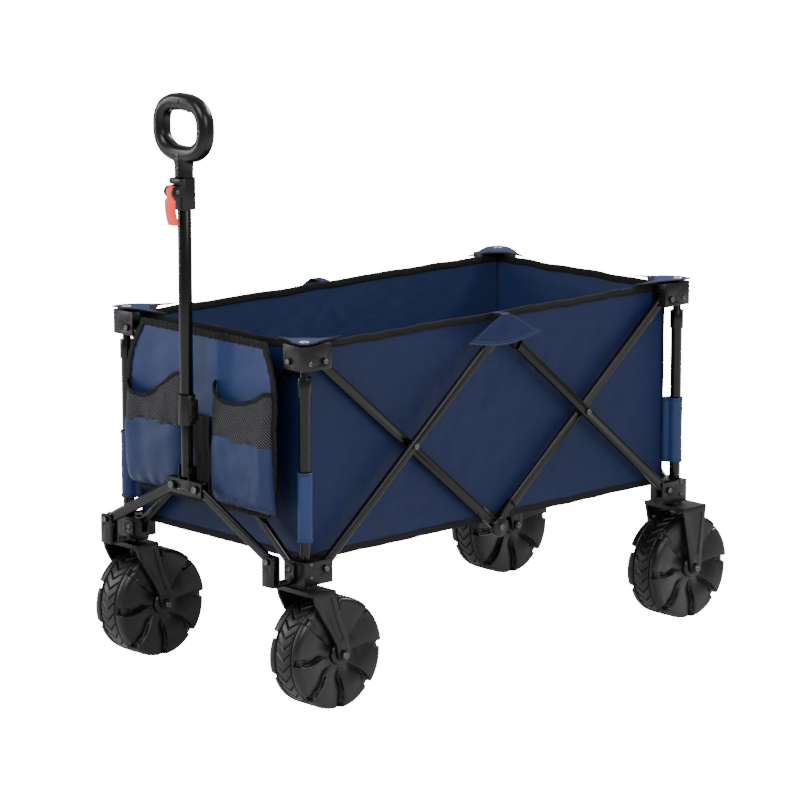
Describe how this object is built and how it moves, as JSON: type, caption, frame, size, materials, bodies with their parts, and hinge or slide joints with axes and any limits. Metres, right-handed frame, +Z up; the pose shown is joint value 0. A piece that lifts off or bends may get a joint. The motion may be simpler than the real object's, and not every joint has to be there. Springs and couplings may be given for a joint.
{
  "type": "beach cart",
  "caption": "Collapsible beach cart with a scissor frame, telescoping corner posts, fabric tub with front pockets, swivelling front wheels and a tilting, telescoping pull handle.",
  "frame": {"origin": "on the ground, below the centre of the bounding box, cart opened and handle upright", "axes": "+Z up; -Y is the front, where the handle and the swivelling wheels are; +X is the cart's right-hand side seen from behind the handle looking to the rear"},
  "size_m": [0.5384, 1.0506, 0.977],
  "materials": {
    "black_steel": "satin powder coat",
    "black_plastic": "matt moulded",
    "wheel_plastic": "matt moulded with a satin tread",
    "navy_fabric": "coated polyester weave",
    "black_mesh": "open mesh",
    "red_plastic": "gloss",
    "zinc_steel": "dull zinc"
  },
  "bodies": {
    "rear_right_corner": {"lower_bracket_rear_right": "black_plastic", "post_tube_rear_right": "black_steel", "fork_rear_right": "black_plastic", "axle_rear_right": "zinc_steel", "tub_wall_right": "navy_fabric", "tub_wall_left": "navy_fabric", "tub_wall_front": "navy_fabric", "tub_wall_rear": "navy_fabric", "tub_floor": "navy_fabric", "floor_mat": "navy_fabric", "organiser": "navy_fabric", "mesh_pockets": "black_mesh"},
    "rear_left_corner": {"lower_bracket_rear_left": "black_plastic", "post_tube_rear_left": "black_steel", "fork_rear_left": "black_plastic", "axle_rear_left": "zinc_steel"},
    "front_right_corner": {"lower_bracket_front_right": "black_plastic", "post_tube_front_right": "black_steel", "v_channel_right": "black_steel"},
    "front_left_corner": {"lower_bracket_front_left": "black_plastic", "post_tube_front_left": "black_steel", "v_channel_left": "black_steel"},
    "rear_right_top": {"upper_bracket_rear_right": "black_plastic", "post_rod_rear_right": "black_steel"},
    "rear_left_top": {"upper_bracket_rear_left": "black_plastic", "post_rod_rear_left": "black_steel"},
    "front_right_top": {"upper_bracket_front_right": "black_plastic", "post_rod_front_right": "black_steel"},
    "front_left_top": {"upper_bracket_front_left": "black_plastic", "post_rod_front_left": "black_steel"},
    "right_rear_outer": {"right_rear_outer_bar": "black_steel"},
    "right_rear_inner": {"right_rear_inner_bar": "black_steel"},
    "right_front_outer": {"right_front_outer_bar": "black_steel"},
    "right_front_inner": {"right_front_inner_bar": "black_steel"},
    "left_rear_outer": {"left_rear_outer_bar": "black_steel"},
    "left_rear_inner": {"left_rear_inner_bar": "black_steel"},
    "left_front_outer": {"left_front_outer_bar": "black_steel"},
    "left_front_inner": {"left_front_inner_bar": "black_steel"},
    "rear_end_outer": {"rear_end_outer_bar": "black_steel"},
    "rear_end_inner": {"rear_end_inner_bar": "black_steel"},
    "front_end_outer": {"front_end_outer_bar": "black_steel"},
    "front_end_inner": {"front_end_inner_bar": "black_steel"},
    "v_right": {"v_bar_right": "black_steel"},
    "v_left": {"v_bar_left": "black_steel"},
    "hub": {"handle_hub": "black_steel"},
    "handle": {"handle_lower_tube": "black_steel", "handle_collar": "black_plastic", "handle_shaft": "black_steel", "handle_clamp": "black_plastic"},
    "grip": {"handle_inner_tube": "black_steel", "handle_grip": "black_plastic"},
    "lever": {"cam_lever": "red_plastic"},
    "caster_right": {"fork_front_right": "black_plastic", "axle_front_right": "zinc_steel"},
    "front_wheel_right": {"wheel_front_right": "wheel_plastic"},
    "rear_wheel_right": {"wheel_rear_right": "wheel_plastic"},
    "caster_left": {"fork_front_left": "black_plastic", "axle_front_left": "zinc_steel"},
    "front_wheel_left": {"wheel_front_left": "wheel_plastic"},
    "rear_wheel_left": {"wheel_rear_left": "wheel_plastic"}
  },
  "joints": [
    {"name": "fold", "type": "hinge", "parent": "rear_right_corner", "child": "right_rear_outer", "pos_m": [0.22, 0.3947, 0.231], "axis": [-1, 0, 0], "range_deg": [0, 38], "deforming": ["tub_wall_right", "tub_wall_left", "tub_wall_front", "tub_wall_rear", "tub_floor", "floor_mat", "organiser", "mesh_pockets"]},
    {"name": "right_rear_cross", "type": "hinge", "parent": "right_rear_outer", "child": "right_rear_inner", "pos_m": [0.22, 0.1947, 0.399], "axis": [1, 0, 0], "range_deg": [0, 76]},
    {"name": "right_mid_top", "type": "hinge", "parent": "right_rear_outer", "child": "right_front_outer", "pos_m": [0.22, -0.0053, 0.567], "axis": [1, 0, 0], "range_deg": [0, 76]},
    {"name": "right_mid_bottom", "type": "hinge", "parent": "right_rear_inner", "child": "right_front_inner", "pos_m": [0.22, -0.0053, 0.231], "axis": [-1, 0, 0], "range_deg": [0, 76]},
    {"name": "right_front_corner_pivot", "type": "hinge", "parent": "right_front_outer", "child": "front_right_corner", "pos_m": [0.22, -0.4053, 0.231], "axis": [-1, 0, 0], "range_deg": [0, 38]},
    {"name": "right_front_top_pivot", "type": "hinge", "parent": "right_front_inner", "child": "front_right_top", "pos_m": [0.22, -0.4053, 0.567], "axis": [1, 0, 0], "range_deg": [0, 38]},
    {"name": "right_rear_top_pivot", "type": "hinge", "parent": "right_rear_inner", "child": "rear_right_top", "pos_m": [0.22, 0.3947, 0.567], "axis": [-1, 0, 0], "range_deg": [0, 38]},
    {"name": "rear_end_pivot", "type": "hinge", "parent": "rear_right_corner", "child": "rear_end_outer", "pos_m": [0.2, 0.4247, 0.231], "axis": [0, 1, 0], "range_deg": [0, 38]},
    {"name": "rear_end_cross", "type": "hinge", "parent": "rear_end_outer", "child": "rear_end_inner", "pos_m": [0, 0.4247, 0.399], "axis": [0, -1, 0], "range_deg": [0, 76]},
    {"name": "rear_left_top_pivot", "type": "hinge", "parent": "rear_end_outer", "child": "rear_left_top", "pos_m": [-0.2, 0.4247, 0.567], "axis": [0, -1, 0], "range_deg": [0, 38]},
    {"name": "rear_left_corner_pivot", "type": "hinge", "parent": "rear_end_inner", "child": "rear_left_corner", "pos_m": [-0.2, 0.4247, 0.231], "axis": [0, 1, 0], "range_deg": [0, 38]},
    {"name": "left_rear_outer_pivot", "type": "hinge", "parent": "rear_left_corner", "child": "left_rear_outer", "pos_m": [-0.22, 0.3947, 0.231], "axis": [-1, 0, 0], "range_deg": [0, 38]},
    {"name": "left_rear_cross", "type": "hinge", "parent": "left_rear_outer", "child": "left_rear_inner", "pos_m": [-0.22, 0.1947, 0.399], "axis": [1, 0, 0], "range_deg": [0, 76]},
    {"name": "left_mid_top", "type": "hinge", "parent": "left_rear_outer", "child": "left_front_outer", "pos_m": [-0.22, -0.0053, 0.567], "axis": [1, 0, 0], "range_deg": [0, 76]},
    {"name": "left_mid_bottom", "type": "hinge", "parent": "left_rear_inner", "child": "left_front_inner", "pos_m": [-0.22, -0.0053, 0.231], "axis": [-1, 0, 0], "range_deg": [0, 76]},
    {"name": "left_front_corner_pivot", "type": "hinge", "parent": "left_front_outer", "child": "front_left_corner", "pos_m": [-0.22, -0.4053, 0.231], "axis": [-1, 0, 0], "range_deg": [0, 38]},
    {"name": "left_front_top_pivot", "type": "hinge", "parent": "left_front_inner", "child": "front_left_top", "pos_m": [-0.22, -0.4053, 0.567], "axis": [1, 0, 0], "range_deg": [0, 38]},
    {"name": "front_end_pivot", "type": "hinge", "parent": "front_right_corner", "child": "front_end_outer", "pos_m": [0.2, -0.4353, 0.231], "axis": [0, 1, 0], "range_deg": [0, 38]},
    {"name": "front_end_cross", "type": "hinge", "parent": "front_end_outer", "child": "front_end_inner", "pos_m": [0, -0.4353, 0.399], "axis": [0, -1, 0], "range_deg": [0, 76]},
    {"name": "v_right_pivot", "type": "hinge", "parent": "front_right_corner", "child": "v_right", "pos_m": [0.202, -0.4923, 0.251], "axis": [0, 1, 0], "range_deg": [0, 54.95]},
    {"name": "v_left_pivot", "type": "hinge", "parent": "front_left_corner", "child": "v_left", "pos_m": [-0.202, -0.4923, 0.251], "axis": [0, -1, 0], "range_deg": [0, 54.95]},
    {"name": "hub_pivot", "type": "hinge", "parent": "v_right", "child": "hub", "pos_m": [0.0286, -0.4923, 0.339], "axis": [0, -1, 0], "range_deg": [0, 54.95]},
    {"name": "handle_tilt", "type": "hinge", "parent": "hub", "child": "handle", "pos_m": [0, -0.4923, 0.366], "axis": [1, 0, 0], "range_deg": [0, 100]},
    {"name": "handle_slide", "type": "slide", "parent": "handle", "child": "grip", "axis": [0, 0, 1], "range_m": [0, 0.25]},
    {"name": "lever_cam", "type": "hinge", "parent": "handle", "child": "lever", "pos_m": [0, -0.5163, 0.822], "axis": [-1, 0, 0], "range_deg": [0, 95]},
    {"name": "caster_swivel_right", "type": "hinge", "parent": "front_right_corner", "child": "caster_right", "pos_m": [0.22, -0.4353, 0], "axis": [0, 0, 1], "continuous": true},
    {"name": "front_wheel_spin_right", "type": "hinge", "parent": "caster_right", "child": "front_wheel_right", "pos_m": [0.22, -0.3933, 0.092], "axis": [1, 0, 0], "continuous": true},
    {"name": "rear_wheel_spin_right", "type": "hinge", "parent": "rear_right_corner", "child": "rear_wheel_right", "pos_m": [0.22, 0.4333, 0.092], "axis": [1, 0, 0], "continuous": true},
    {"name": "caster_swivel_left", "type": "hinge", "parent": "front_left_corner", "child": "caster_left", "pos_m": [-0.22, -0.4353, 0], "axis": [0, 0, 1], "continuous": true},
    {"name": "front_wheel_spin_left", "type": "hinge", "parent": "caster_left", "child": "front_wheel_left", "pos_m": [-0.22, -0.3933, 0.092], "axis": [1, 0, 0], "continuous": true},
    {"name": "rear_wheel_spin_left", "type": "hinge", "parent": "rear_left_corner", "child": "rear_wheel_left", "pos_m": [-0.22, 0.4333, 0.092], "axis": [1, 0, 0], "continuous": true}
  ],
  "couplings": [
    {"joint": "right_rear_cross", "follows": "fold", "ratio": 2},
    {"joint": "right_mid_top", "follows": "fold", "ratio": 2},
    {"joint": "right_mid_bottom", "follows": "fold", "ratio": 2},
    {"joint": "right_front_corner_pivot", "follows": "fold", "ratio": 1},
    {"joint": "right_front_top_pivot", "follows": "fold", "ratio": 1},
    {"joint": "right_rear_top_pivot", "follows": "fold", "ratio": 1},
    {"joint": "rear_end_pivot", "follows": "fold", "ratio": 1},
    {"joint": "rear_end_cross", "follows": "fold", "ratio": 2},
    {"joint": "rear_left_top_pivot", "follows": "fold", "ratio": 1},
    {"joint": "rear_left_corner_pivot", "follows": "fold", "ratio": 1},
    {"joint": "left_rear_outer_pivot", "follows": "fold", "ratio": 1},
    {"joint": "left_rear_cross", "follows": "fold", "ratio": 2},
    {"joint": "left_mid_top", "follows": "fold", "ratio": 2},
    {"joint": "left_mid_bottom", "follows": "fold", "ratio": 2},
    {"joint": "left_front_corner_pivot", "follows": "fold", "ratio": 1},
    {"joint": "left_front_top_pivot", "follows": "fold", "ratio": 1},
    {"joint": "front_end_pivot", "follows": "fold", "ratio": 1},
    {"joint": "front_end_cross", "follows": "fold", "ratio": 2},
    {"joint": "v_right_pivot", "follows": "fold", "ratio": 1.4458},
    {"joint": "v_left_pivot", "follows": "fold", "ratio": 1.4458},
    {"joint": "hub_pivot", "follows": "fold", "ratio": 1.4458}
  ]
}
